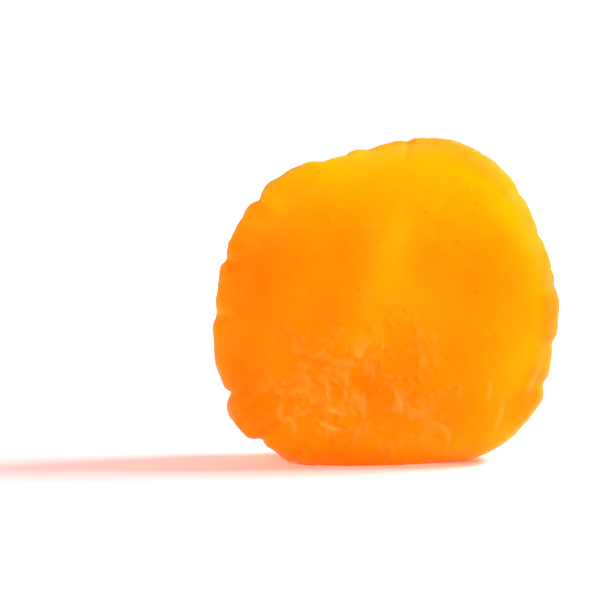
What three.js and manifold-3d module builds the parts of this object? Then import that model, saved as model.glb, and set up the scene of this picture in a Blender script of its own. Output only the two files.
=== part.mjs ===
// A dried apricot, stoned whole and pressed into a thick disc, standing on its edge.
// One body of skin and flesh. Millimetres, +Z up. The disc's faces look along -Y (front) and +Y
// (back), X runs across it, and the origin is at the middle of its box, on the surface it stands on.

import * as THREE from "three";
import { mergeVertices } from "three/addons/utils/BufferGeometryUtils.js";
import Module from "manifold-3d";

const wasm = await Module();
wasm.setup();

// Driving dimensions. Places on the disc are measured from its middle.
const HALF_THICKNESS = 5.7; // of the plump rim
const FOOT_DROP = 18.85; // from the middle down to the flat spot it stands on
const FULLNESS = 3.2; // 2 would be an ellipse in section; more is a fuller rim

// The outline's radius every 10 degrees, from +X (right) towards +Z (top).
const OUTLINE = [
  20.0, 19.4, 19.2, 19.3, 19.8, 20.1, 20.2, 19.8, 19.0, 18.1, 17.6, 17.5, 18.3, 19.0, 19.3, 19.4,
  19.6, 19.7, 19.9, 20.7, 21.4, 21.5, 23.0, 21.9, 21.8, 20.7, 20.0, 19.7, 19.6, 20.0, 21.3, 21.8,
  21.7, 21.2, 20.2, 20.0,
];
const MEAN_RADIUS = OUTLINE.reduce((sum, r) => sum + r, 0) / OUTLINE.length;

// Where drying pinched the rim into folds: place round the disc and half width in degrees, depth in
// mm, and how far the fold runs in over the faces in mm. The one with a depth below 0 is a swelling.
const PINCHES = [
  { at: 5.5, wide: 2.4, deep: 0.28, reach: 3 },
  { at: 11, wide: 1.8, deep: 0.15, reach: 3 },
  { at: 24, wide: 2.0, deep: 0.18, reach: 2.5 },
  { at: 39, wide: 2.0, deep: 0.2, reach: 4 },
  { at: 83, wide: 1.4, deep: 0.2, reach: 2.5 },
  { at: 97, wide: 2.4, deep: 0.15, reach: 5 },
  { at: 141, wide: 2.4, deep: 0.4, reach: 3 },
  { at: 165, wide: 2.0, deep: 0.3, reach: 3 },
  { at: 184, wide: 2.0, deep: 0.25, reach: 4 },
  { at: 210.3, wide: 1.3, deep: 0.42, reach: 3.5 },
  { at: 215, wide: 2.6, deep: -0.35, reach: 5 },
  { at: 228, wide: 1.5, deep: 0.4, reach: 5 },
  { at: 240, wide: 1.3, deep: 0.3, reach: 3 },
  { at: 331.8, wide: 1.9, deep: 0.36, reach: 2.5 },
  { at: 345, wide: 2.0, deep: 0.26, reach: 2.5 },
];
const PINCH_SWAY = { size: 4, degrees: 1.6 }; // how a fold's line wavers on its way over the rim

// The hollow where the stone was, on each face: middle, half width, half height and depth.
const FRONT_HOLLOW = { x: -0.8, z: 1.5, wide: 6, high: 9, deep: 1.7 };
const BACK_HOLLOW = { x: -1.0, z: 0.5, wide: 8, high: 8, deep: 1.9 };

// The suture, the groove from stem to tip, runs down the front face, and fades over its ends.
const SUTURE = { x: -0.2, lean: 0.03, wide: 1.8, deep: 0.25, top: 15, bottom: -6, end: 4 };

// The body is thickest at the bottom left: its thickness as a share, and the change per mm.
const TAPER = { middle: 0.985, up: -0.0055, right: -0.0025 };

// Drying bent the disc: its middle towards the back, and a slow wave from left to right.
const BEND = { dish: 0.35, wave: 0.4, length: 9 };

// The slit in the rim that the stone was pushed out through, pressed shut between two lips.
const SLIT = { from: 188, to: 210, deep: 0.9, wide: 0.7, y: 0.9, reach: 5, sway: 0.5 };
const LIPS = { share: 0.45, at: 2.2, wide: 1.2 };

// The puckered scar where the stem was, with a low ring round it.
const STEM_SCAR = { at: 113, y: 1.6, radius: 1.9, deep: 0.9, puckers: 7, ring: 0.2, reach: 4 };

// Relief, in mm: broad lumps of the faces, and folds of skin that run round the rim. The folds are
// carved in from their crests. They are shallower towards the right and the top, and the front face
// is nearly smooth but for a patch low on it.
const LUMPS = { size: 10, height: 0.55 };
const FOLDS = { along: 8.0, across: 3.2, height: 1.2, wander: 0.45, softness: 0.12 };
const SMOOTH_FRONT = 0.1;
const CALM = { from: 8, to: 16, share: 0.5 };
const ROUGH_PATCH = { x: -1, z: -10.5, wide: 13.5, high: 9, share: 0.8 };

const PROFILE_STEPS = 48;
const ROUND_STEPS = 118;

const { smoothstep, euclideanModulo, degToRad, radToDeg } = THREE.MathUtils;
const bell = (t) => Math.exp(-t * t);

// The outline's radius at an angle: a smooth closed curve through OUTLINE.
function outlineRadius(angle) {
  const count = OUTLINE.length;
  const place = euclideanModulo(angle / (2 * Math.PI), 1) * count;
  const i = Math.floor(place);
  const t = place - i;
  const [a, b, c, d] = [-1, 0, 1, 2].map((step) => OUTLINE[(i + step + count) % count]);
  return b + 0.5 * t * (c - a + t * (2 * a - 5 * b + 4 * c - d + t * (3 * (b - c) + d - a)));
}

// Half of the disc's cross-section, from the middle of the front over the rim to the middle of the
// back: a superellipse, MEAN_RADIUS wide and HALF_THICKNESS high.
class Section extends THREE.Curve {
  getPoint(t, target = new THREE.Vector2()) {
    const turn = Math.PI * t;
    const out = Math.sin(turn) ** (2 / FULLNESS);
    const up = Math.abs(Math.cos(turn)) ** (2 / FULLNESS) * Math.sign(Math.cos(turn));
    return target.set(out * MEAN_RADIUS, -up * HALF_THICKNESS);
  }
}

// A repeatable number from -1 to 1 for a corner of the noise's lattice.
function lot(i, j, k, salt) {
  let h = Math.imul(i, 0x27d4eb2d) ^ Math.imul(j, 0x165667b1) ^ Math.imul(k, 0x9e3779b1);
  h ^= Math.imul(salt, 0x85ebca6b);
  h = Math.imul(h ^ (h >>> 15), 0x2c1b3c6d);
  h = Math.imul(h ^ (h >>> 12), 0x297a2d39);
  return ((h ^ (h >>> 15)) >>> 0) / 2 ** 31 - 1;
}

// Gradient noise, about -1 to 1, with bumps about one unit apart.
function noise(x, y, z, salt) {
  const [i, j, k] = [x, y, z].map(Math.floor);
  const ease = (t) => t * t * t * (t * (6 * t - 15) + 10);
  let sum = 0;
  for (const a of [0, 1])
    for (const b of [0, 1])
      for (const c of [0, 1]) {
        const [u, v, w] = [x - i - a, y - j - b, z - k - c];
        const share = ease(1 - Math.abs(u)) * ease(1 - Math.abs(v)) * ease(1 - Math.abs(w));
        const slope = [0, 1, 2].map((n) => lot(i + a, j + b, k + c, 3 * salt + n));
        sum += share * (slope[0] * u + slope[1] * v + slope[2] * w);
      }
  return 1.6 * sum;
}

// How strongly the skin has wrinkled: fully on the rim and the back, less towards the right and the
// top, and little on the front.
function wrinkled(p) {
  const front = smoothstep(-p.y, 0.05 * HALF_THICKNESS, 0.6 * HALF_THICKNESS);
  const calm = 1 - CALM.share * smoothstep(Math.max(p.x, p.z), CALM.from, CALM.to);
  const { x, z, wide, high, share } = ROUGH_PATCH;
  const patch = share * bell(Math.hypot((p.x - x) / wide, (p.z - z) / high) ** 2);
  return calm * (1 - front * (1 - SMOOTH_FRONT - patch));
}

// Rounded crests where the noise is near 0, and hollows between them.
function folds(p) {
  const { along, across, height, wander, softness } = FOLDS;
  const q = [p.x / along, p.y / across, p.z / along];
  const slow = q.map((v) => 0.8 * v);
  const moved = q.map((v, n) => v + wander * noise(...slow, 10 + n));
  return -height * wrinkled(p) * (Math.hypot(noise(...moved, 1), softness) - softness);
}

// The difference between two angles, in degrees from -180 to 180.
const turnFrom = (angle, at) => euclideanModulo(radToDeg(angle) - at + 180, 360) - 180;

function pinches(p, angle, inFromRim) {
  const { size, degrees } = PINCH_SWAY;
  const sway = degrees * noise(p.x / size, p.y / size, p.z / size, 5);
  let sum = 0;
  for (const { at, wide, deep, reach } of PINCHES) {
    const across = (turnFrom(angle, at) + sway) / wide;
    const shoulders = 0.35 * (bell((across - 2.4) / 1.3) + bell((across + 2.4) / 1.3));
    sum += deep * bell(inFromRim / reach) * (shoulders - bell(across));
  }
  return sum;
}

function slit(p, angle, inFromRim) {
  const { from, to, deep, wide, y, reach, sway } = SLIT;
  const along = turnFrom(angle, (from + to) / 2) / ((to - from) / 2);
  const across = (p.y - y - sway * noise(p.x / 5, 0, p.z / 5, 4)) / wide;
  const lips = LIPS.share * bell((Math.abs(across) - LIPS.at) / LIPS.wide);
  return deep * bell(along ** 2) * bell(inFromRim / reach) * (lips - bell(across));
}

function stemScar(p, angle, inFromRim) {
  const { at, y, radius, deep, puckers, ring, reach } = STEM_SCAR;
  const along = degToRad(turnFrom(angle, at)) * outlineRadius(angle);
  const up = p.y - y;
  const away = Math.hypot(along, up) / radius;
  const pucker = 1 + 0.25 * Math.cos(puckers * Math.atan2(up, along)) * Math.min(away, 1);
  return bell(inFromRim / reach) * (ring * bell((away - 1.9) / 0.6) - deep * bell(away * pucker));
}

const hollow = (p, { x, z, wide, high, deep }) =>
  deep * bell(Math.hypot((p.x - x) / wide, (p.z - z) / high));

function suture(p) {
  const { x, lean, wide, deep, top, bottom, end } = SUTURE;
  const up = smoothstep(p.z, bottom - end, bottom + end);
  const down = 1 - smoothstep(p.z, top - end, top + end);
  return deep * up * down * bell((p.x - x - lean * p.z) / wide);
}

// Moves a vertex of the plain round disc to where it is on the apricot.
function shaped(v) {
  const angle = Math.atan2(v.z, v.x);
  const share = Math.hypot(v.x, v.z) / MEAN_RADIUS;
  const radius = outlineRadius(angle);
  const p = new THREE.Vector3(v.x, 0, v.z).multiplyScalar(radius / MEAN_RADIUS);

  const flatness = Math.min(Math.abs(v.y) / HALF_THICKNESS, 1) ** 3;
  const sunken = v.y < 0 ? hollow(p, FRONT_HOLLOW) + suture(p) : -hollow(p, BACK_HOLLOW);
  const lump = LUMPS.height * noise(p.x / LUMPS.size, 0, p.z / LUMPS.size, 2);
  p.y = v.y * (TAPER.middle + TAPER.up * p.z + TAPER.right * p.x) + flatness * (sunken + lump);

  const out = share ** (FULLNESS - 1) / radius;
  const off = Math.abs(v.y / HALF_THICKNESS) ** (FULLNESS - 1) / HALF_THICKNESS;
  const outward = new THREE.Vector3(v.x * out, 0, v.z * out).divideScalar(share * MEAN_RADIUS || 1);
  outward.y = off * Math.sign(v.y);
  outward.normalize();

  const inFromRim = radius * (1 - share);
  const relief =
    folds(p) + pinches(p, angle, inFromRim) + slit(p, angle, inFromRim) +
    stemScar(p, angle, inFromRim);
  p.addScaledVector(outward, relief);

  p.y += BEND.dish * (1 - (p.x * p.x + p.z * p.z) / MEAN_RADIUS ** 2);
  p.y += BEND.wave * Math.sin(p.x / BEND.length);
  return p;
}

// A closed mesh as a solid, and back.
function solidOf(geometry) {
  geometry.deleteAttribute("normal");
  geometry.deleteAttribute("uv");
  const merged = mergeVertices(geometry);
  return new wasm.Manifold(
    new wasm.Mesh({
      numProp: 3,
      vertProperties: merged.getAttribute("position").array,
      triVerts: new Uint32Array(merged.index.array),
    }),
  );
}

function geometryOf(solid) {
  const mesh = solid.getMesh();
  const geometry = new THREE.BufferGeometry();
  geometry.setAttribute("position", new THREE.BufferAttribute(mesh.vertProperties, 3));
  geometry.setIndex(new THREE.BufferAttribute(mesh.triVerts, 1));
  geometry.computeVertexNormals();
  return geometry;
}

function apricotBody() {
  const profile = new Section().getSpacedPoints(PROFILE_STEPS);
  profile[0].x = 0;
  profile[PROFILE_STEPS].x = 0;
  const disc = new THREE.LatheGeometry(profile, ROUND_STEPS);
  const position = disc.getAttribute("position");
  for (let i = 0; i < position.count; i++) {
    const p = shaped(new THREE.Vector3().fromBufferAttribute(position, i));
    position.setXYZ(i, p.x, p.y, p.z);
  }
  return solidOf(disc);
}

// What the weight has pressed flat is cut away below the foot.
function pressedFlat(body) {
  const side = 4 * MEAN_RADIUS;
  const below = new THREE.BoxGeometry(side, side, side);
  below.translate(0, 0, -FOOT_DROP - side / 2);
  return body.subtract(solidOf(below));
}

const geometry = geometryOf(pressedFlat(apricotBody()));
geometry.computeBoundingBox();
const middle = geometry.boundingBox.getCenter(new THREE.Vector3());

const skin = new THREE.MeshStandardMaterial({ color: 0xfb8c0a, roughness: 0.42, metalness: 0 });
const apricot = new THREE.Mesh(geometry, skin);
apricot.name = "apricot";
apricot.position.set(-middle.x, -middle.y, FOOT_DROP);

const group = new THREE.Group();
group.add(apricot);

export default group;
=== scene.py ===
import math

import bpy
import numpy as np
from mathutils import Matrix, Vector


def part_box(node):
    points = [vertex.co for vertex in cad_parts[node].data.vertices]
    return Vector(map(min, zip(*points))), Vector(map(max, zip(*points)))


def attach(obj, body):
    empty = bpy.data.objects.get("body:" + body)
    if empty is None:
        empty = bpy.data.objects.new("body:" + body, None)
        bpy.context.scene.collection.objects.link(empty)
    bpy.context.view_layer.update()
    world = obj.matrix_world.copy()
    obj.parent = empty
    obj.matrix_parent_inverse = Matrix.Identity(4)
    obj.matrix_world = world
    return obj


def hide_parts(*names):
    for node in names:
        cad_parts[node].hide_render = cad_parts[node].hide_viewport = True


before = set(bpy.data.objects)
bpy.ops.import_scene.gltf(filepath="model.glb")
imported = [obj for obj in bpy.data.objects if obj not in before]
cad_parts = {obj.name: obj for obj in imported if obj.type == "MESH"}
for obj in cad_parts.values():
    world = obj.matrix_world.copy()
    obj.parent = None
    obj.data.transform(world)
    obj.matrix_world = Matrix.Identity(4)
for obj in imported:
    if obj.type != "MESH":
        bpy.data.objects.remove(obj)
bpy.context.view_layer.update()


# The apricot's body: one piece of skin and flesh, dried whole after its stone was pressed out, and
# flattened into a thick disc with a plump rim. It stands on its edge, where its weight has pressed
# a flat spot. Its faces look along -Y and +Y, and lengths are millimetres from its middle.

MM = 0.001
HALF_THICKNESS = 5.7
FOOT_DROP = 18.85
FULLNESS = 3.2
CLEARANCE = 0.005 * MM

# The outline's radius every 10 degrees, from +X towards +Z.
OUTLINE = np.array([
    20.0, 19.4, 19.2, 19.3, 19.8, 20.1, 20.2, 19.8, 19.0,
    18.1, 17.6, 17.5, 18.3, 19.0, 19.3, 19.4, 19.6, 19.7,
    19.9, 20.7, 21.4, 21.5, 23.0, 21.9, 21.8, 20.7, 20.0,
    19.7, 19.6, 20.0, 21.3, 21.8, 21.7, 21.2, 20.2, 20.0,
])
MEAN_RADIUS = OUTLINE.mean()

# Folds across the rim: place and half width in degrees, depth, and reach in over the faces.
# The one with a depth below 0 is a swelling. Their lines sway a little, and each has shoulders,
# whose place and width are in shares of the fold's own half width.
PINCHES = [
    {"at": 5.5, "wide": 2.4, "deep": 0.28, "reach": 3},
    {"at": 11, "wide": 1.8, "deep": 0.15, "reach": 3},
    {"at": 24, "wide": 2.0, "deep": 0.18, "reach": 2.5},
    {"at": 39, "wide": 2.0, "deep": 0.2, "reach": 4},
    {"at": 83, "wide": 1.4, "deep": 0.2, "reach": 2.5},
    {"at": 97, "wide": 2.4, "deep": 0.15, "reach": 5},
    {"at": 141, "wide": 2.4, "deep": 0.4, "reach": 3},
    {"at": 165, "wide": 2.0, "deep": 0.3, "reach": 3},
    {"at": 184, "wide": 2.0, "deep": 0.25, "reach": 4},
    {"at": 210.3, "wide": 1.3, "deep": 0.42, "reach": 3.5},
    {"at": 215, "wide": 2.6, "deep": -0.35, "reach": 5},
    {"at": 228, "wide": 1.5, "deep": 0.4, "reach": 5},
    {"at": 240, "wide": 1.3, "deep": 0.3, "reach": 3},
    {"at": 331.8, "wide": 1.9, "deep": 0.36, "reach": 2.5},
    {"at": 345, "wide": 2.0, "deep": 0.26, "reach": 2.5},
]
PINCH_SWAY = {"size": 4, "degrees": 1.6}
SHOULDERS = {"share": 0.35, "out": 2.4, "wide": 1.3}

# The hollow where the stone was, on each face, and the suture down the front one.
FRONT_HOLLOW = {"x": -0.8, "z": 1.5, "wide": 6, "high": 9, "deep": 1.7}
BACK_HOLLOW = {"x": -1.0, "z": 0.5, "wide": 8, "high": 8, "deep": 1.9}
SUTURE = {"x": -0.2, "lean": 0.03, "wide": 1.8, "deep": 0.25, "top": 15, "bottom": -6, "end": 4}
BEND = {"dish": 0.35, "wave": 0.4, "length": 9}
TAPER = {"middle": 0.985, "up": -0.0055, "right": -0.0025}

# The slit in the rim that the stone left through, with its lips, and the puckered scar of the stem.
SLIT = {"from": 188, "to": 210, "deep": 0.9, "wide": 0.7, "y": 0.9, "reach": 5}
SLIT_SWAY = {"size": 5, "height": 0.5}
LIPS = {"share": 0.45, "out": 2.2, "wide": 1.2}
STEM_SCAR = {"at": 113, "y": 1.6, "radius": 1.9, "deep": 0.9, "puckers": 7, "ring": 0.2, "reach": 4}
SCAR_EDGE = {"drawn_in": 0.25, "ring_out": 1.9, "ring_wide": 0.6}

# Relief: broad lumps of the faces, folds that run round the rim, the finer wrinkles between them,
# the crinkle of the skin itself, and pleats along the rim. The ridges have a size along X, Y and Z,
# a height, and how far their lines wander, in shares of that size. Softness rounds their crests.
LUMPS = {"size": 10, "height": 0.55}
FOLDS = {"x": 8.0, "y": 3.2, "z": 8.0, "height": 1.2, "wander": 0.45}
WRINKLES = {"x": 1.8, "y": 1.5, "z": 2.5, "height": 0.42, "wander": 0.6}
CRINKLE = {"x": 0.75, "y": 0.75, "z": 1.15, "height": 0.17, "wander": 0.5}
PLEATS = {"x": 4.5, "y": 1.2, "z": 4.5, "height": 0.8, "wander": 0.8}
SOFTNESS = 0.12
CREST = 1 - SOFTNESS

# Where it runs: the rim and the back have all of it, less towards the right and the top, and the
# front has little but for a patch low down. The fine relief is broken up into blots. The face and
# the rim are bounded in shares of the half thickness.
FACE = {"from": 0.05, "to": 0.6}
RIM = {"from": 0.6, "to": 0.97, "front_share": 0.3}
CALM = {"from": 8, "to": 16, "share": 0.5}
SMOOTH_FRONT = 0.1
HIDDEN_EXTRA = 0.3
ROUGH_PATCH = {"x": -1, "z": -10.5, "wide": 13.5, "high": 9, "share": 0.8, "uneven": 0}
FINE_PATCH = {"x": -3.2, "z": -9.8, "wide": 12, "high": 8.5, "share": 0.85, "uneven": 0.3}
PATCH_BORDER = 4
BREAKS = {"size": 2.6, "fine": 0.7, "fine_share": 1.3, "from": -0.1, "to": 0.6, "least": 0.4}

# The pale tops of the fine relief, partly sugar and partly painted highlight, and a grainy band of
# painted highlight just inside the outline, from its lower right to its upper right and top.
PALE = {"share": 0.7, "sharpness": 4, "front": 0.42, "streaks": 0.55}
RIM_HIGHLIGHT = {"in": 1.0, "wide": 0.7, "share": 0.6, "from": 8, "to": 20, "grain": 1.5}

# Longer ridges on the front face: middle, heading from +X, half length, half width and height, and
# the curve to the left of the heading, in millimetres at one millimetre along.
STREAKS = [
    {"x": -3.3, "z": -5.5, "heading": 80, "long": 0.7, "wide": 0.5, "high": 0.1, "curve": 0.1},
    {"x": -4.8, "z": -8.4, "heading": 95, "long": 0.8, "wide": 0.25, "high": 0.1, "curve": 0.1},
    {"x": -6.9, "z": -9.8, "heading": 98, "long": 1.9, "wide": 0.22, "high": 0.11, "curve": 0.05},
    {"x": -5.9, "z": -12.3, "heading": -25, "long": 0.8, "wide": 0.3, "high": 0.12, "curve": 0.1},
    {"x": -6.7, "z": -14.0, "heading": -20, "long": 1.3, "wide": 0.25, "high": 0.14, "curve": 0.05},
    {"x": -12.4, "z": -12.6, "heading": 100, "long": 1.2, "wide": 0.25, "high": 0.12, "curve": -0.35},
    {"x": -10.9, "z": -13.6, "heading": -60, "long": 1.1, "wide": 0.25, "high": 0.12, "curve": -0.35},
    {"x": -2.9, "z": -11.5, "heading": 92, "long": 1.6, "wide": 0.22, "high": 0.11, "curve": -0.04},
    {"x": 1.2, "z": -10.9, "heading": 105, "long": 1.4, "wide": 0.25, "high": 0.1, "curve": 0.08},
    {"x": 6.6, "z": -14.4, "heading": -55, "long": 1.8, "wide": 0.26, "high": 0.16, "curve": -0.3},
    {"x": 11.5, "z": -10.0, "heading": 85, "long": 1.1, "wide": 0.22, "high": 0.1, "curve": 0},
    {"x": 12.8, "z": -13.0, "heading": 76, "long": 2.0, "wide": 0.3, "high": 0.12, "curve": 0.03},
    {"x": 16.7, "z": -8.4, "heading": 68, "long": 2.4, "wide": 0.35, "high": 0.16, "curve": 0.03},
]

# The surface's points: round the disc, and over its section from pole to pole.
TURNS, STEPS = 420, 234


def bell(t):
    """A bell curve: e to the power of minus t squared."""
    return np.exp(-t * t)


def smoothstep(v, low, high):
    """0 below low, 1 above high, and an S-shaped cubic between them."""
    t = np.clip((v - low) / (high - low), 0, 1)
    return t * t * (3 - 2 * t)


def outline_radius(angle):
    """The outline's radius at each angle: a closed curve through OUTLINE, cubic between each two of
    its values, with half the difference of the two on either side as its slope at a value."""
    count = len(OUTLINE)
    place = np.mod(angle / (2 * np.pi), 1) * count
    i = np.floor(place).astype(int)
    t = place - i
    a, b, c, d = (OUTLINE[(i + step) % count] for step in (-1, 0, 1, 2))
    return b + 0.5 * t * (c - a + t * (2 * a - 5 * b + 4 * c - d + t * (3 * (b - c) + d - a)))


def section(steps):
    """Half of the cross-section, back to front over the rim, in equal steps of its length.
    It is a superellipse: the radius goes as the sine, and the depth as the cosine, of one turn,
    each to the power of 2 over FULLNESS."""
    turn = np.linspace(0, np.pi, 4001)
    out = MEAN_RADIUS * np.sin(turn).clip(0) ** (2 / FULLNESS)
    deep = HALF_THICKNESS * np.sign(np.cos(turn)) * np.abs(np.cos(turn)) ** (2 / FULLNESS)
    length = np.concatenate([[0], np.cumsum(np.hypot(np.diff(out), np.diff(deep)))])
    even = np.linspace(0, length[-1], steps + 1)
    return np.interp(even, length, out), np.interp(even, length, deep)


def lot(i, j, k, salt):
    """A repeatable number from -1 to 1 for each corner of the noise's lattice: the corner's whole
    numbers, multiplied by large odd ones, mixed with shifts and multiplied again, in 32 bits.
    The salt is one more whole number, a new one for each new pattern."""
    i, j, k = (v.astype(np.int64).astype(np.uint32) for v in (i, j, k))
    h = i * np.uint32(0x27D4EB2D) ^ j * np.uint32(0x165667B1) ^ k * np.uint32(0x9E3779B1)
    h ^= np.uint32(salt * 0x85EBCA6B & 0xFFFFFFFF)
    h = (h ^ (h >> np.uint32(15))) * np.uint32(0x2C1B3C6D)
    h = (h ^ (h >> np.uint32(12))) * np.uint32(0x297A2D39)
    return (h ^ (h >> np.uint32(15))) / 2.0**31 - 1


def noise(x, y, z, salt):
    """Gradient noise, about -1 to 1, with bumps about one unit apart: at each of the eight corners
    round a point a slope drawn by lot, blended by smooth shares of the distance."""
    i, j, k = np.floor(x), np.floor(y), np.floor(z)

    def ease(t):
        return t * t * t * (t * (6 * t - 15) + 10)

    total = np.zeros_like(x)
    for a in (0, 1):
        for b in (0, 1):
            for c in (0, 1):
                u, v, w = x - i - a, y - j - b, z - k - c
                share = ease(1 - np.abs(u)) * ease(1 - np.abs(v)) * ease(1 - np.abs(w))
                slope = [lot(i + a, j + b, k + c, 3 * salt + n) for n in range(3)]
                total += share * (slope[0] * u + slope[1] * v + slope[2] * w)
    return 1.6 * total


def ridges(p, size, salt):
    """Relief from about minus its height up to 0: rounded crests where warped noise crosses 0,
    with hollows between them. The noise is stretched by a size of its own each way."""
    q = [p[n] / size[axis] for n, axis in enumerate("xyz")]
    slow = [0.8 * v for v in q]
    moved = [v + size["wander"] * noise(*slow, 10 * salt + n) for n, v in enumerate(q)]
    crest = 1 - np.sqrt(noise(*moved, salt) ** 2 + SOFTNESS**2)
    return size["height"] * (crest - CREST)


def turn_from(angle, at):
    """The difference between angles and a place round the disc, in degrees from -180 to 180."""
    return np.mod(np.degrees(angle) - at + 180, 360) - 180


def front_share(p):
    """How far onto the front face a place is: 0 on the rim and the back, 1 on the face."""
    return smoothstep(-p[1] / HALF_THICKNESS, FACE["from"], FACE["to"])


def wrinkled(p, place):
    """The share of wrinkling: 1 on the rim and the back, less towards the right and the top, and
    little on the front, except for a bell-shaped patch with a border that noise makes uneven."""
    calm = 1 - CALM["share"] * smoothstep(np.maximum(p[0], p[2]), CALM["from"], CALM["to"])
    away = np.hypot((p[0] - place["x"]) / place["wide"], (p[2] - place["z"]) / place["high"])
    away += place["uneven"] * noise(*(p / PATCH_BORDER), 15)
    patch = place["share"] * bell(away**2)
    return calm * (1 - front_share(p) * (1 - SMOOTH_FRONT - patch))


def unbroken(p):
    """Where the fine ridges run, 0 to 1: they come and go in soft blots, and nowhere fade wholly
    but on the front."""
    blots = noise(*(p / BREAKS["size"]), 11)
    blots += BREAKS["fine_share"] * noise(*(p / BREAKS["fine"]), 13)
    shown = smoothstep(blots, BREAKS["from"], BREAKS["to"])
    return shown + (1 - shown) * BREAKS["least"] * (1 - front_share(p))


def streaks(p):
    """The longer ridges: each a bell-shaped section along a shallow parabola, faded at its ends.
    Gives their relief, and how much of one's top is at each point."""
    relief, tops = np.zeros_like(p[0]), np.zeros_like(p[0])
    for ridge in STREAKS:
        heading = math.radians(ridge["heading"])
        right, up = p[0] - ridge["x"], p[2] - ridge["z"]
        along = right * math.cos(heading) + up * math.sin(heading)
        away = up * math.cos(heading) - right * math.sin(heading) - ridge["curve"] * along**2
        top = bell(away / ridge["wide"]) * bell((along / ridge["long"]) ** 2) * (p[1] < 0)
        relief += ridge["high"] * top
        tops += top
    return relief, tops


def hollow(p, place):
    """A bell-shaped hollow, longer one way."""
    across = (p[0] - place["x"]) / place["wide"]
    along = (p[2] - place["z"]) / place["high"]
    return place["deep"] * bell(np.hypot(across, along))


def suture(p):
    """A groove with a bell-shaped section along a leaning line, faded at both ends."""
    across = (p[0] - SUTURE["x"] - SUTURE["lean"] * p[2]) / SUTURE["wide"]
    top = 1 - smoothstep(p[2], SUTURE["top"] - SUTURE["end"], SUTURE["top"] + SUTURE["end"])
    bottom = smoothstep(p[2], SUTURE["bottom"] - SUTURE["end"], SUTURE["bottom"] + SUTURE["end"])
    return SUTURE["deep"] * top * bottom * bell(across)


def pinches(p, angle, in_from_rim):
    """Folds across the rim: each a bell-shaped valley with a low shoulder on either side."""
    sway = PINCH_SWAY["degrees"] * noise(*(p / PINCH_SWAY["size"]), 5)
    total = np.zeros_like(angle)
    for fold in PINCHES:
        across = (turn_from(angle, fold["at"]) + sway) / fold["wide"]
        left, right = (across + side * SHOULDERS["out"] for side in (1, -1))
        shoulders = bell(left / SHOULDERS["wide"]) + bell(right / SHOULDERS["wide"])
        valley = SHOULDERS["share"] * shoulders - bell(across)
        total += fold["deep"] * bell(in_from_rim / fold["reach"]) * valley
    return total


def slit(p, angle, in_from_rim):
    """A bell-shaped groove along the rim between two low lips, faded at both ends."""
    along = turn_from(angle, (SLIT["from"] + SLIT["to"]) / 2) / (0.5 * (SLIT["to"] - SLIT["from"]))
    q = p / SLIT_SWAY["size"]
    sway = SLIT_SWAY["height"] * noise(q[0], 0 * q[1], q[2], 4)
    across = (p[1] - SLIT["y"] - sway) / SLIT["wide"]
    lips = LIPS["share"] * bell((np.abs(across) - LIPS["out"]) / LIPS["wide"])
    near = bell(along**2) * bell(in_from_rim / SLIT["reach"])
    return SLIT["deep"] * near * (lips - bell(across))


def stem_scar(p, angle, in_from_rim):
    """A bell-shaped pit, its edge drawn in by puckers, with a low ring round it."""
    along = np.radians(turn_from(angle, STEM_SCAR["at"])) * outline_radius(angle)
    up = p[1] - STEM_SCAR["y"]
    away = np.hypot(along, up) / STEM_SCAR["radius"]
    puckers = np.cos(STEM_SCAR["puckers"] * np.arctan2(up, along)) * np.minimum(away, 1)
    pit = bell(away * (1 + SCAR_EDGE["drawn_in"] * puckers))
    ring = bell((away - SCAR_EDGE["ring_out"]) / SCAR_EDGE["ring_wide"])
    near = bell(in_from_rim / STEM_SCAR["reach"])
    return near * (STEM_SCAR["ring"] * ring - STEM_SCAR["deep"] * pit)


def pale_top(relief, size):
    """How near a ridge's relief is to its crest, from 0 in the hollow to 1, raised to a power."""
    return (1 + relief / size["height"] / CREST) ** PALE["sharpness"]


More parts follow.
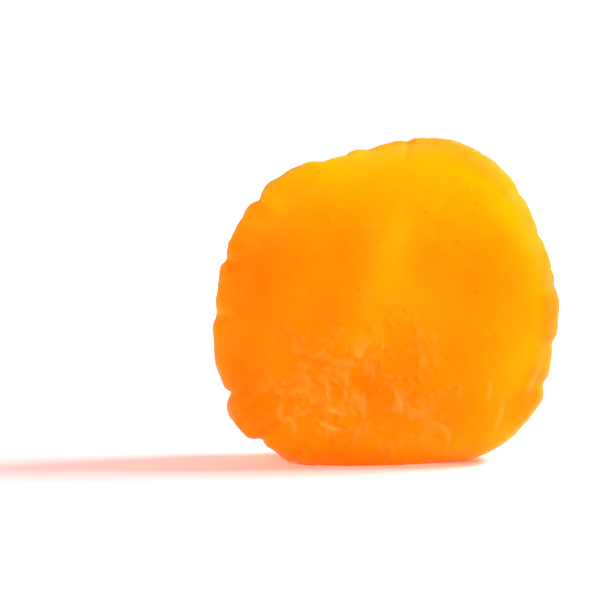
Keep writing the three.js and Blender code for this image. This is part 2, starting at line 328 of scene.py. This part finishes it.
def apricot_surface():
    """The skin on a grid of turns round the disc's axis and steps over its section.
    The round section is scaled to the outline, tapered, hollowed, and moved along the
    superellipse's own outward direction by the relief; then the disc is bent and pressed flat.
    Gives the points, and how pale each one's ridge is, 0 to 1."""
    out, deep = section(STEPS)
    angle = np.linspace(0, 2 * np.pi, TURNS, endpoint=False)[:, None] * np.ones(STEPS + 1)
    out, deep = (np.ones((TURNS, 1)) * v for v in (out, deep))
    share = out / MEAN_RADIUS
    radius = outline_radius(angle)
    p = np.array([share * radius * np.cos(angle), 0 * angle, share * radius * np.sin(angle)])

    taper = TAPER["middle"] + TAPER["up"] * p[2] + TAPER["right"] * p[0]
    flatness = np.minimum(np.abs(deep) / HALF_THICKNESS, 1) ** 3
    front = hollow(p, FRONT_HOLLOW) + suture(p)
    sunken = np.where(deep < 0, front, -hollow(p, BACK_HOLLOW))
    lumps = LUMPS["height"] * noise(*(p / LUMPS["size"]), 2)
    p[1] = deep * taper + flatness * (sunken + lumps)

    sideways = share ** (FULLNESS - 1) / radius
    off = np.abs(deep / HALF_THICKNESS) ** (FULLNESS - 1) / HALF_THICKNESS
    outward = np.array([sideways * np.cos(angle), off * np.sign(deep), sideways * np.sin(angle)])
    outward /= np.linalg.norm(outward, axis=0)

    in_from_rim = radius * (1 - share)
    large = (
        wrinkled(p, ROUGH_PATCH) * ridges(p, FOLDS, 1)
        + pinches(p, angle, in_from_rim)
        + slit(p, angle, in_from_rim)
        + stem_scar(p, angle, in_from_rim)
    )
    wrinkles, crinkle, pleats = ridges(p, WRINKLES, 6), ridges(p, CRINKLE, 7), ridges(p, PLEATS, 14)
    much = wrinkled(p, FINE_PATCH) * unbroken(p)
    hidden = 1 - front_share(p)
    rim = 1 - smoothstep(np.abs(deep) / HALF_THICKNESS, RIM["from"], RIM["to"])
    rim *= RIM["front_share"] + (1 - RIM["front_share"]) * hidden
    extra, tops = streaks(p)
    fine = much * ((1 + HIDDEN_EXTRA * hidden) * (wrinkles + crinkle) + rim * pleats) + extra

    # A painted highlight just inside the outline, at the lower right, the right and the top.
    painted_rim_highlight = front_share(p) * bell((in_from_rim - RIM_HIGHLIGHT["in"]) / RIM_HIGHLIGHT["wide"])
    painted_rim_highlight *= smoothstep(p[0] + p[2], RIM_HIGHLIGHT["from"], RIM_HIGHLIGHT["to"])
    painted_rim_highlight *= RIM_HIGHLIGHT["share"] * (1 + noise(*(p / RIM_HIGHLIGHT["grain"]), 12))
    # The crests' paleness: partly sugar, partly painted highlight.
    crests = PALE["share"] * (pale_top(wrinkles, WRINKLES) + pale_top(crinkle, CRINKLE))
    crests = np.clip(much * (crests + rim * pale_top(pleats, PLEATS)) + painted_rim_highlight, 0, 1)
    crests *= PALE["front"] + (1 - PALE["front"]) * hidden
    # The longer ridges' tops are pale too: partly sugar, partly painted highlight.
    crests = np.clip(crests + PALE["streaks"] * tops, 0, 1)

    p += outward * (large + fine)
    p[1] += BEND["dish"] * (1 - (p[0] ** 2 + p[2] ** 2) / MEAN_RADIUS**2)
    p[1] += BEND["wave"] * np.sin(p[0] / BEND["length"])
    p[2] = np.maximum(p[2], -FOOT_DROP)
    return p, crests


def fitted(points, box):
    """The points in metres, scaled by a hair each way to lie just inside a box's two corners."""
    low, high = (np.array(corner)[:, None, None] for corner in box)
    least, most = (edge((1, 2))[:, None, None] for edge in (points.min, points.max))
    share = (points - least) / (most - least)
    clear = np.array([CLEARANCE, CLEARANCE, 0])[:, None, None]
    return low + clear + share * (high - low - 2 * clear)


def closed_grid(name, points):
    """A mesh from points on a grid of turns and steps, whose first and last step are poles."""
    turns, steps = points.shape[1], points.shape[2] - 1
    rings = points[:, :, 1:steps].transpose(2, 1, 0).reshape(-1, 3)
    poles = points[:, 0, [0, steps]].T
    vertices = np.concatenate([rings, poles])
    here = np.arange(turns)
    after = np.roll(here, -1)
    bands = np.arange(steps - 2)[:, None] * turns
    quads = np.stack([bands + here, bands + turns + here, bands + turns + after, bands + after], -1)
    last = (steps - 2) * turns
    back = np.full(turns, len(rings))
    front = back + 1
    caps = [np.stack([back, here, after], -1), np.stack([front, last + after, last + here], -1)]
    faces = quads.reshape(-1, 4).tolist() + np.concatenate(caps).tolist()
    mesh = bpy.data.meshes.new(name)
    mesh.from_pydata(vertices.tolist(), [], faces)
    mesh.shade_smooth()
    mesh.update()
    made = bpy.data.objects.new(name, mesh)
    bpy.context.scene.collection.objects.link(made)
    return made


def grid_values(values):
    """A value for each vertex of a closed grid, in the order of its vertices."""
    steps = values.shape[1] - 1
    return np.concatenate([values[:, 1:steps].T.ravel(), values[0, [0, steps]]])


points, crests = apricot_surface()
cad_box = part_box("apricot")
apricot = closed_grid("dried_apricot", fitted(points, cad_box))


# The skin: translucent orange, deeper at the lower left and golden at the upper right and where
# the flesh is thin, partly its own tone and partly painted light: painted glow where light would
# shine through, and painted shade low down, at the outer right and at the far left. It has a soft
# sheen, pale crests that are partly sugar and partly painted highlight, a painted highlight just
# inside the outline, and a few tiny brown specks.
# Light goes a few millimetres into the flesh, red furthest.

DEEP_ORANGE = (0.96, 0.155, 0.0002, 1)
GOLD = (0.96, 0.62, 0.0005, 1)
# The crests' pale colour: partly sugar, partly painted highlight.
SUGAR_AND_HIGHLIGHT = (1.0, 0.5, 0.12, 1)
SUGAR_AND_HIGHLIGHT_SHARE = 0.42
SPECK = (0.45, 0.1, 0.0, 1)
SPECKS = {"per_metre": 900, "edge": 0.19, "core": 0.06, "left_out": 0.8, "strength": 0.5}
SHEEN_TINT = (1.0, 0.75, 0.04, 1)
FLESH_DEPTH, FLESH_REACH = 2.0 * MM, (1.0, 0.5, 0.1)
GRAIN = {"per_metre": 2200, "height": 0.05 * MM, "strength": 0.25}

# What each area adds to the gold, in shares of the way from deep orange to gold.
GOLD_AND_PAINTED_LIGHT = {
    "all": 0.06,
    # From here to the seam: partly the flesh's own tone, partly painted glow of light shining through
    # the flesh; the thin one is painted glow alone.
    "right": 0.29,
    "right edge": 0.15,
    "top": 0.27,
    "top right": 0.15,
    "thin": 0.08,
    "seam": 0.18,
    # From here to the outer right: painted shade, low on the front, on the lower half and at the base
    # where it stands, and on the outer right rim against the right lamp's light.
    "low front": -0.09,
    "lower half": -0.035,
    "base": -0.1,
    "outer right": -0.36,
    "patches": 0.05,
    # Partly the flesh's own tone, partly painted glow of light shining through it.
    "lower right": 0.12,
    # Painted shade at the far left.
    "far left": -0.06,
    "hidden upper left": -0.12,
}


def gold_and_painted_light_share(p):
    """How far the colour goes from deep orange to gold, 0 to 1: partly the flesh's own tone, partly
    painted glow of light shining through it, and partly painted shade. It is the sum of the shares in
    GOLD_AND_PAINTED_LIGHT, each times its area, which is 0 or 1 with a soft border. The right one
    grows evenly over the width, the thin one is where the body is thin from face to face, the seam is
    a leaning band, and the patches are noise."""
    thickness = np.abs(p[1] - p[1][:, ::-1])
    right = (p[0] + 20) / 40
    top = smoothstep(p[2], 4, 17)
    seam = bell((p[0] + 1.6 - 0.22 * p[2]) / 2.6) * smoothstep(p[2], -9, -3)
    outer = smoothstep(np.hypot(p[0], p[2]), 16.5, 19.5)
    areas = {
        "all": 1,
        "right": right,
        "right edge": smoothstep(p[0], 10, 18),
        "top": top,
        "top right": top * right,
        "thin": 1 - smoothstep(thickness, 5.5, 9),
        "seam": seam * (1 - smoothstep(p[2], 6, 12)),
        "low front": bell(np.hypot((p[0] - 3) / 9, (p[2] + 9.5) / 5.5)),
        "lower half": 1 - smoothstep(p[2], -13, -3),
        "base": smoothstep(-p[2], 15.5, 18.5),
        "outer right": outer * smoothstep(p[0] + 0.6 * p[2], 2, 12),
        "patches": noise(*(p / 6), 8) + 0.5 * noise(*(p / 2), 9),
        "lower right": smoothstep(p[0], 8, 16) * smoothstep(-p[2], 1, 9),
        "far left": smoothstep(-p[0], 12, 18),
        "hidden upper left": (1 - front_share(p)) * (1 - right) * top,
    }
    return np.clip(sum(GOLD_AND_PAINTED_LIGHT[name] * area for name, area in areas.items()), 0, 1)


for name, values in (("crests", crests), ("gold_and_painted_light", gold_and_painted_light_share(points))):
    layer = apricot.data.attributes.new(name, "FLOAT", "POINT")
    layer.data.foreach_set("value", grid_values(values).astype(np.float32))

skin = bpy.data.materials.new("apricot_skin")
skin.use_nodes = True
nodes, links = skin.node_tree.nodes, skin.node_tree.links
shader = nodes["Principled BSDF"]
where = nodes.new("ShaderNodeTexCoord")

# The flesh, from deep orange to gold: its own tone, painted glow and painted shade.
gold_and_light_node = nodes.new("ShaderNodeAttribute")
gold_and_light_node.attribute_name = "gold_and_painted_light"
flesh = nodes.new("ShaderNodeMix")
flesh.data_type = "RGBA"
flesh.inputs["A"].default_value = DEEP_ORANGE
flesh.inputs["B"].default_value = GOLD
links.new(gold_and_light_node.outputs["Fac"], flesh.inputs["Factor"])

# Pale crests, partly sugar and partly painted highlight, and the painted highlight just inside the
# outline.
tops = nodes.new("ShaderNodeAttribute")
tops.attribute_name = "crests"
sugar_and_highlight_share = nodes.new("ShaderNodeMath")
sugar_and_highlight_share.operation = "MULTIPLY"
sugar_and_highlight_share.inputs[1].default_value = SUGAR_AND_HIGHLIGHT_SHARE
links.new(tops.outputs["Fac"], sugar_and_highlight_share.inputs[0])
sugar_and_highlight_mix = nodes.new("ShaderNodeMix")
sugar_and_highlight_mix.data_type = "RGBA"
sugar_and_highlight_mix.inputs["B"].default_value = SUGAR_AND_HIGHLIGHT
links.new(sugar_and_highlight_share.outputs["Value"], sugar_and_highlight_mix.inputs["Factor"])
links.new(flesh.outputs["Result"], sugar_and_highlight_mix.inputs["A"])

# Specks: one at the middle of each cell of a foam, but for those that the cell's lot leaves out.
cells = nodes.new("ShaderNodeTexVoronoi")
cells.inputs["Scale"].default_value = SPECKS["per_metre"]
links.new(where.outputs["Object"], cells.inputs["Vector"])
near = nodes.new("ShaderNodeMapRange")
near.inputs["From Min"].default_value = SPECKS["edge"]
near.inputs["From Max"].default_value = SPECKS["core"]
near.inputs["To Max"].default_value = SPECKS["strength"]
links.new(cells.outputs["Distance"], near.inputs["Value"])
drawn = nodes.new("ShaderNodeSeparateColor")
links.new(cells.outputs["Color"], drawn.inputs["Color"])
kept = nodes.new("ShaderNodeMath")
kept.operation = "GREATER_THAN"
kept.inputs[1].default_value = SPECKS["left_out"]
links.new(drawn.outputs["Red"], kept.inputs[0])
speck_share = nodes.new("ShaderNodeMath")
speck_share.operation = "MULTIPLY"
links.new(near.outputs["Result"], speck_share.inputs[0])
links.new(kept.outputs["Value"], speck_share.inputs[1])
speckled = nodes.new("ShaderNodeMix")
speckled.data_type = "RGBA"
speckled.inputs["B"].default_value = SPECK
links.new(speck_share.outputs["Value"], speckled.inputs["Factor"])
links.new(sugar_and_highlight_mix.outputs["Result"], speckled.inputs["A"])
links.new(speckled.outputs["Result"], shader.inputs["Base Color"])

shader.inputs["Roughness"].default_value = 0.43
shader.inputs["Specular IOR Level"].default_value = 0.3
shader.inputs["Specular Tint"].default_value = SHEEN_TINT
shader.inputs["Subsurface Weight"].default_value = 1.0
shader.inputs["Subsurface Radius"].default_value = FLESH_REACH
shader.inputs["Subsurface Scale"].default_value = FLESH_DEPTH

# The skin's own grain.
grain = nodes.new("ShaderNodeTexNoise")
grain.inputs["Scale"].default_value = GRAIN["per_metre"]
grain.inputs["Detail"].default_value = 3
links.new(where.outputs["Object"], grain.inputs["Vector"])
bump = nodes.new("ShaderNodeBump")
bump.inputs["Strength"].default_value = GRAIN["strength"]
bump.inputs["Distance"].default_value = GRAIN["height"]
links.new(grain.outputs["Fac"], bump.inputs["Height"])
links.new(bump.outputs["Normal"], shader.inputs["Normal"])

apricot.data.materials.append(skin)
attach(apricot, "root")
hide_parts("apricot")


# The studio: a white light table, a sky that is white to the eye but soft in what it lights, a
# lamp at the upper left, and one behind to the upper right that shines through the fruit.

# The table: its half side and grey, and its glow, which the camera sees grow with the distance
# from the fruit. What it lights is the faint fill alone.
TABLE_HALF, TABLE_GREY = 1.5, 0.84
TABLE_GLOW = {"most": 1.0, "from": 0.06, "to": 0.25, "fill": 0.05}

# The sky's strength in front and behind, where it changes between them along the way back, and its
# strength in the fruit's sheen.
SKY = {"front": 0.14, "back": 0.75, "from": -0.8, "to": 0.6, "back_way": (0.4, 0.85, -0.35)}
SKY_SHEEN = 0.12

# Each lamp's place, side and power. The right one's light is split in two by colour: one share goes
# straight through the fruit, the rest is shadowed by it.
LAMP_FRONT = {"place": (-0.44, -0.64, 0.3), "side": 0.6, "watts": 6.0}
LAMP_RIGHT = {"place": (0.64, 0.1, 0.56), "side": 0.22, "watts": 10}
SHINE_THROUGH = (0.8, 0.1, 0.02)

table_mesh = bpy.data.meshes.new("light_table")
corners = [(TABLE_HALF * x, TABLE_HALF * y, 0) for x, y in ((-1, -1), (1, -1), (1, 1), (-1, 1))]
table_mesh.from_pydata(corners, [], [(0, 1, 2, 3)])
table = bpy.data.objects.new("light_table", table_mesh)
bpy.context.scene.collection.objects.link(table)
acrylic = bpy.data.materials.new("white_acrylic")
acrylic.use_nodes = True
sheet = acrylic.node_tree.nodes["Principled BSDF"]
sheet.inputs["Base Color"].default_value = (TABLE_GREY, TABLE_GREY, TABLE_GREY, 1)
sheet.inputs["Roughness"].default_value = 0.9
sheet.inputs["Emission Color"].default_value = (1, 1, 1, 1)
table_nodes, table_links = acrylic.node_tree.nodes, acrylic.node_tree.links
spot = table_nodes.new("ShaderNodeTexCoord")
away = table_nodes.new("ShaderNodeVectorMath")
away.operation = "LENGTH"
table_links.new(spot.outputs["Object"], away.inputs[0])
outer = table_nodes.new("ShaderNodeMapRange")
outer.interpolation_type = "SMOOTHSTEP"
outer.inputs["From Min"].default_value = TABLE_GLOW["from"]
outer.inputs["From Max"].default_value = TABLE_GLOW["to"]
outer.inputs["To Max"].default_value = TABLE_GLOW["most"]
table_links.new(away.outputs["Value"], outer.inputs["Value"])
seen = table_nodes.new("ShaderNodeLightPath")
glow = table_nodes.new("ShaderNodeMix")
glow.inputs["A"].default_value = TABLE_GLOW["fill"]
table_links.new(seen.outputs["Is Camera Ray"], glow.inputs["Factor"])
table_links.new(outer.outputs["Result"], glow.inputs["B"])
table_links.new(glow.outputs["Result"], sheet.inputs["Emission Strength"])
table_mesh.materials.append(acrylic)

sky = bpy.data.worlds.new("white_sky")
bpy.context.scene.world = sky
sky.use_nodes = True
sky_nodes, sky_links = sky.node_tree.nodes, sky.node_tree.links
way = sky_nodes.new("ShaderNodeTexCoord")
backness = sky_nodes.new("ShaderNodeVectorMath")
backness.operation = "DOT_PRODUCT"
backness.inputs[1].default_value = SKY["back_way"]
sky_links.new(way.outputs["Generated"], backness.inputs[0])
lit = sky_nodes.new("ShaderNodeMapRange")
lit.interpolation_type = "SMOOTHSTEP"
lit.inputs["From Min"].default_value = SKY["from"]
lit.inputs["From Max"].default_value = SKY["to"]
lit.inputs["To Min"].default_value = SKY["front"]
lit.inputs["To Max"].default_value = SKY["back"]
sky_links.new(backness.outputs["Value"], lit.inputs["Value"])
seen = sky_nodes.new("ShaderNodeLightPath")
sheen = sky_nodes.new("ShaderNodeMix")
sheen.inputs["B"].default_value = SKY_SHEEN
sky_links.new(seen.outputs["Is Glossy Ray"], sheen.inputs["Factor"])
sky_links.new(lit.outputs["Result"], sheen.inputs["A"])
strength = sky_nodes.new("ShaderNodeMix")
strength.inputs["B"].default_value = 1.0
sky_links.new(seen.outputs["Is Camera Ray"], strength.inputs["Factor"])
sky_links.new(sheen.outputs["Result"], strength.inputs["A"])
sky_nodes["Background"].inputs["Color"].default_value = (1, 1, 1, 1)
sky_links.new(strength.outputs["Result"], sky_nodes["Background"].inputs["Strength"])


def soft_lamp(name, kind, colour):
    """A square lamp of a kind and colour, facing the fruit's middle."""
    light = bpy.data.lights.new(name, "AREA")
    light.size = kind["side"]
    light.energy = kind["watts"]
    light.color = colour
    lamp = bpy.data.objects.new(name, light)
    lamp.location = kind["place"]
    facing = Vector((0, 0, FOOT_DROP * MM)) - lamp.location
    lamp.rotation_euler = facing.to_track_quat("-Z", "Y").to_euler()
    bpy.context.scene.collection.objects.link(lamp)
    return lamp


soft_lamp("lamp_front", LAMP_FRONT, (1, 1, 1))
shadowed = soft_lamp("lamp_right", LAMP_RIGHT, [1 - share for share in SHINE_THROUGH])
through = soft_lamp("lamp_right_through", LAMP_RIGHT, SHINE_THROUGH)
through.data.use_shadow = False
for lamp in (shadowed, through):
    lamp.visible_glossy = False


# The camera: nearly level, a little above the fruit, aimed past its left side as in the photo.

PICTURE_SIDE = 600
FRUIT_PX = {"x": 386.5, "y": 300.5, "wide": 347}
LENS, SENSOR = 100.0, 36.0
ELEVATION = math.radians(6)

width = cad_box[1].x - cad_box[0].x
scale = width / FRUIT_PX["wide"]
distance = PICTURE_SIDE * scale * LENS / SENSOR
aside = (PICTURE_SIDE / 2 - FRUIT_PX["x"]) * scale
above = (FRUIT_PX["y"] - PICTURE_SIDE / 2) * scale
aim = Vector((aside, 0, (cad_box[0].z + cad_box[1].z) / 2 + above))
towards = Vector((0, math.cos(ELEVATION), -math.sin(ELEVATION)))

camera = bpy.data.objects.new("camera", bpy.data.cameras.new("camera"))
camera.data.lens = LENS
camera.data.sensor_width = SENSOR
camera.data.clip_start = 0.01
camera.location = aim - distance * towards
camera.rotation_euler = towards.to_track_quat("-Z", "Y").to_euler()
bpy.context.scene.collection.objects.link(camera)
bpy.context.scene.camera = camera

bpy.context.scene.view_settings.view_transform = "Standard"
